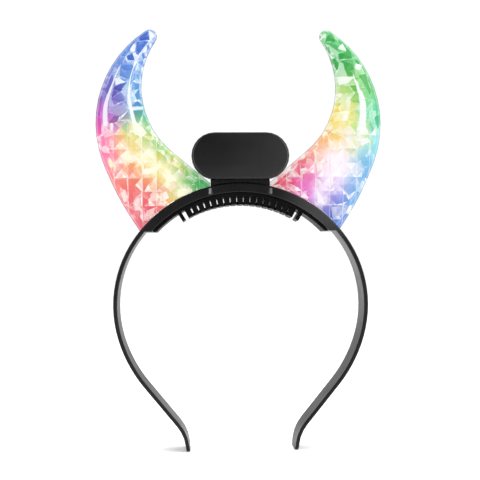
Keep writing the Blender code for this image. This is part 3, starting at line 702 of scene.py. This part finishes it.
class HEADBAND_OT_band(bpy.types.Operator):
    """Band with its crown and legs, and the comb under the crown."""

    bl_idname = "headband.band"
    bl_label = "Band and comb"

    def execute(self, context):
        settings = context.scene.black_plastic_settings
        plastic = black_plastic("band_plastic_and_painted_light", settings, painted_light=step_painted_light)
        add_piece("band_piece", merged_copy("headband"), plastic, "headband", 12)
        matt = black_plastic("comb_plastic", settings, shine=0.1)
        add_piece("comb_piece", merged_copy("comb"), matt, "comb", 30)
        return {"FINISHED"}


class HEADBAND_OT_case(bpy.types.Operator):
    """Battery case and the blank front plate."""

    bl_idname = "headband.case"
    bl_label = "Battery case and front plate"

    def execute(self, context):
        settings = context.scene.black_plastic_settings
        case = black_plastic("case_plastic", settings)
        plate = black_plastic("plate_plastic_and_painted_light", settings, shine=1.2, painted_light=plate_painted_light)
        add_piece("case_piece", merged_copy("battery_case"), case, "battery_case",
                  35)
        add_piece("plate_piece", merged_copy("face_plate"), plate, "face_plate",
                  35)
        return {"FINISHED"}


class HEADBAND_OT_horns(bpy.types.Operator):
    """Both clear faceted horns."""

    bl_idname = "headband.horns"
    bl_label = "Horns"

    def execute(self, context):
        settings = context.scene.horn_settings
        for side, lights, glows, ridge_reflections, shards in (
                ("left", LEFT_LIGHT, LEFT_GLOW, LEFT_RIDGE_REFLECTIONS, LEFT_SHARDS),
                ("right", RIGHT_LIGHT, RIGHT_GLOW, RIGHT_RIDGE_REFLECTIONS, RIGHT_SHARDS)):
            finish = clear_plastic(f"lit_plastic_{side}", side, settings, lights, glows,
                                   ridge_reflections)
            add_piece(f"horn_piece_{side}", self.horn(side, settings, shards), finish,
                      f"horn_{side}")
        return {"FINISHED"}

    def horn(self, side, settings, shards):
        """The horn's mesh: its facets' tones, painted light or shade by the way each faces, a narrow
        border inset in each facet that carries a painted highlight, and the flat facets cut into its
        front."""
        bm = merged_copy(f"horn_{side}")
        chance = random.Random(SEEDS[side])
        turn = SIDE_SIGN[side]
        # Facets that face this way are painted light, the others painted shade
        way = Vector((-0.7 * turn, 0, -0.7))
        facet = bm.faces.layers.float_color.new("facet")
        tones = {}
        for face in bm.faces:
            group, pale = self.group(face, way)
            if group not in tones:
                tones[group] = self.tone(chance, pale, group[0] == "upper", settings)
            face[facet] = tones[group]
        outer = [face for face in bm.faces
                 if self.is_outer(face) and face.calc_center_median().z < LATTICE_TOP * MM]
        # Each outer facet below the upper rows gets a narrow inset border that carries a painted
        # highlight along its edge
        before = set(bm.faces)
        bmesh.ops.inset_individual(bm, faces=outer, thickness=settings.line_width,
                                   use_even_offset=True)
        for face in bm.faces:
            if face not in before:
                tone, shift, _, flat = face[facet]
                face[facet] = (tone, shift, 1.0, flat)
        for tone, corners in shards:
            points = [Vector((turn * x * MM, 0, z * MM)) for x, z in corners]
            self.add_shard(bm, facet, points, tone)
        return bm

    def add_shard(self, bm, facet, points, tone):
        """A flat facet cut into the front along the outline that the points give."""
        low = [min(point[axis] for point in points) for axis in (0, 2)]
        high = [max(point[axis] for point in points) for axis in (0, 2)]
        walls = [(point, (after - point).cross(Vector((0, 1, 0))))
                 for point, after in zip(points, points[1:] + points[:1])]
        for point, outward in walls:
            near = [face for face in bm.faces if face.normal.y < FRONT_NORMAL
                    and all(min(v.co[axis] for v in face.verts) < high[k]
                            and max(v.co[axis] for v in face.verts) > low[k]
                            for k, axis in enumerate((0, 2)))]
            parts = set(near)
            parts.update(edge for face in near for edge in face.edges)
            parts.update(vert for face in near for vert in face.verts)
            bmesh.ops.bisect_plane(bm, geom=list(parts), dist=CUT_TOLERANCE, plane_co=point,
                                   plane_no=outward)
        for face in bm.faces:
            centre = face.calc_center_median()
            if face.normal.y < FRONT_NORMAL and is_inside(centre, points):
                is_upper = centre.z > LATTICE_TOP * MM
                face[facet] = (tone, 0.5, 0.0, CUT_UPPER_FLAT if is_upper else CUT_LOWER_FLAT)

    def group(self, face, way):
        """The facet that a face belongs to, and whether it faces the way that is painted light rather
        than painted shade.
        """
        centre = face.calc_center_median() / MM
        across, up = abs(centre.x), centre.z
        pale = face.normal.dot(way) > 0
        front = centre.y < 0
        share = edge_share(across, up)
        if up > LATTICE_TOP and abs(centre.y) > RIM_BAND_Y / MM:
            outer_x, outer_z, _ = OUTER_CIRCLE
            row = int(math.degrees(math.atan2(up - outer_z, across - outer_x)) / ROW_DEG
                      + FIRST_ROW)
            strip = sum(share > limit for limit in STRIP_SHARES)
            return ("upper", front, row, strip, pale), pale
        return ("lower", front, face.index), pale

    def tone(self, chance, pale, upper, settings):
        """A facet's lightness, painted light or shade by the way it faces and varied at random, and
        how far aside it shows its colours from.
        """
        if upper:
            base = UPPER_TONES[pale]
        else:
            base = LOWER_TONES[pale == (chance.random() > SWAPPED_SHARE)]
        lightness = base + (chance.random() - 0.5) * settings.facet_spread
        return (min(1.0, max(0.0, lightness)), chance.random(), 0.0,
                PLAIN_UPPER_FLAT if upper else 0.0)

    def is_outer(self, face):
        """Whether a face is a facet of the outside, clear of the rim."""
        centre = face.calc_center_median()
        outward = face.normal.y * centre.y > 0
        return outward and abs(centre.y) > RIM_BAND_Y and face.calc_area() > SMALL_FACET


class HEADBAND_OT_lamps(bpy.types.Operator):
    """Lamps inside the horns."""

    bl_idname = "headband.lamps"
    bl_label = "Lamps"

    def execute(self, context):
        lens = lamp_lens("lamp_lens_finish")
        for side in ("left", "right"):
            for number in (1, 2, 3):
                node = f"lamp_{side}_{number}"
                add_piece(f"lamp_piece_{side}_{number}", merged_copy(node), lens, node,
                          40)
        return {"FINISHED"}


class HEADBAND_OT_stage(bpy.types.Operator):
    """Pale floor, soft studio light and camera."""

    bl_idname = "headband.stage"
    bl_label = "Stage"

    def execute(self, context):
        settings = context.scene.stage_settings
        self.add_floor(settings.floor_size)
        self.set_world(context.scene)
        self.add_light("key_light", settings.key_power, 1.0, (0.8, -0.5, 0.6))
        self.add_light("fill_light", settings.fill_power, 0.7, (-0.8, -0.45, 0.45))
        self.add_light("top_light", settings.top_power, 0.9, (0.1, 0.1, 1.1))
        context.scene.camera = self.add_camera(settings)
        context.scene.view_settings.view_transform = "Standard"
        return {"FINISHED"}

    def add_floor(self, size):
        made, nodes, shader = new_material("floor_paint", {
            "Specular IOR Level": 0.2,
            "Emission Color": (1.0, 1.0, 1.0, 1.0),
            "Emission Strength": 0.10,
        })
        cloud = nodes.noise(nodes.place(), 0.004, 3.0).out("Fac")
        connect(nodes, shader, {
            "Base Color": nodes.mix(cloud, (0.93, 0.93, 0.935, 1.0), (0.95, 0.95, 0.95, 1.0)),
            "Roughness": 0.7 + cloud * 0.1,
        })
        bm = bmesh.new()
        bmesh.ops.create_grid(bm, x_segments=1, y_segments=1, size=size / 2)
        mesh = bpy.data.meshes.new("floor")
        bm.to_mesh(mesh)
        bm.free()
        mesh.materials.append(made)
        floor = bpy.data.objects.new("floor", mesh)
        bpy.context.scene.collection.objects.link(floor)

    def set_world(self, scene):
        """White to the camera; to everything else bright above and behind, darker in front."""
        world = bpy.data.worlds.new("studio")
        world.use_nodes = True
        scene.world = world
        nodes = Nodes(world.node_tree)
        way = nodes.add("ShaderNodeTexCoord").out("Generated")
        x, y, z = nodes.split(way)
        front = (y * -1.0).ramp(0.1, 0.9)
        strength = (1.0 - front * FRONT_DIMMING + z.ramp(0.3, 0.9) * TOP_GAIN
                    + x.ramp(0.05, 0.6) * RIGHT_GAIN)
        seen = nodes.add("ShaderNodeLightPath").out("Is Camera Ray")
        strength = strength * (1 - seen) + seen * BACKDROP_WHITE
        background = world.node_tree.nodes["Background"]
        background.inputs["Color"].default_value = (1.0, 1.0, 1.0, 1.0)
        connect(nodes, background, {"Strength": strength})

    def add_light(self, name, power, size, place):
        data = bpy.data.lights.new(name, "AREA")
        data.energy = power
        data.size = size
        light = bpy.data.objects.new(name, data)
        aim = Vector(LIGHT_AIM) - Vector(place)
        turn = aim.to_track_quat("-Z", "Y").to_matrix().to_4x4()
        light.matrix_world = Matrix.Translation(place) @ turn
        bpy.context.scene.collection.objects.link(light)

    def add_camera(self, settings):
        data = bpy.data.cameras.new("camera")
        data.sensor_width = 36
        data.lens = settings.lens
        data.clip_start = 0.01
        camera = bpy.data.objects.new("camera", data)
        place, aim = Vector(settings.camera_place), Vector(settings.camera_aim)
        turn = (aim - place).to_track_quat("-Z", "Y").to_matrix().to_4x4()
        roll = Matrix.Rotation(settings.camera_roll, 4, "Z")
        camera.matrix_world = Matrix.Translation(place) @ turn @ roll
        bpy.context.scene.collection.objects.link(camera)
        return camera


class HEADBAND_PT_panel(bpy.types.Panel):
    """Settings and steps of the headband."""

    bl_idname = "HEADBAND_PT_panel"
    bl_label = "Devil horns headband"
    bl_space_type = "VIEW_3D"
    bl_region_type = "UI"
    bl_category = "Horns"

    def draw(self, context):
        for owner in SETTINGS:
            group = getattr(context.scene, owner)
            column = self.layout.column(align=True)
            for name in group.__annotations__:
                column.prop(group, name)
        for step in STEPS:
            self.layout.operator(step.bl_idname)


SETTINGS = {
    "black_plastic_settings": BlackPlasticSettings,
    "horn_settings": HornSettings,
    "stage_settings": StageSettings,
}
STEPS = (
    HEADBAND_OT_band,
    HEADBAND_OT_case,
    HEADBAND_OT_horns,
    HEADBAND_OT_lamps,
    HEADBAND_OT_stage,
)


def register():
    for group in SETTINGS.values():
        bpy.utils.register_class(group)
    for owner, group in SETTINGS.items():
        setattr(bpy.types.Scene, owner, PointerProperty(type=group))
    for item in (*STEPS, HEADBAND_PT_panel):
        bpy.utils.register_class(item)


def unregister():
    for item in reversed((*STEPS, HEADBAND_PT_panel)):
        bpy.utils.unregister_class(item)
    for owner, group in SETTINGS.items():
        delattr(bpy.types.Scene, owner)
        bpy.utils.unregister_class(group)


def main():
    register()
    bpy.ops.headband.band()
    bpy.ops.headband.case()
    bpy.ops.headband.horns()
    bpy.ops.headband.lamps()
    bpy.ops.headband.stage()


if __name__ == "__main__":
    main()
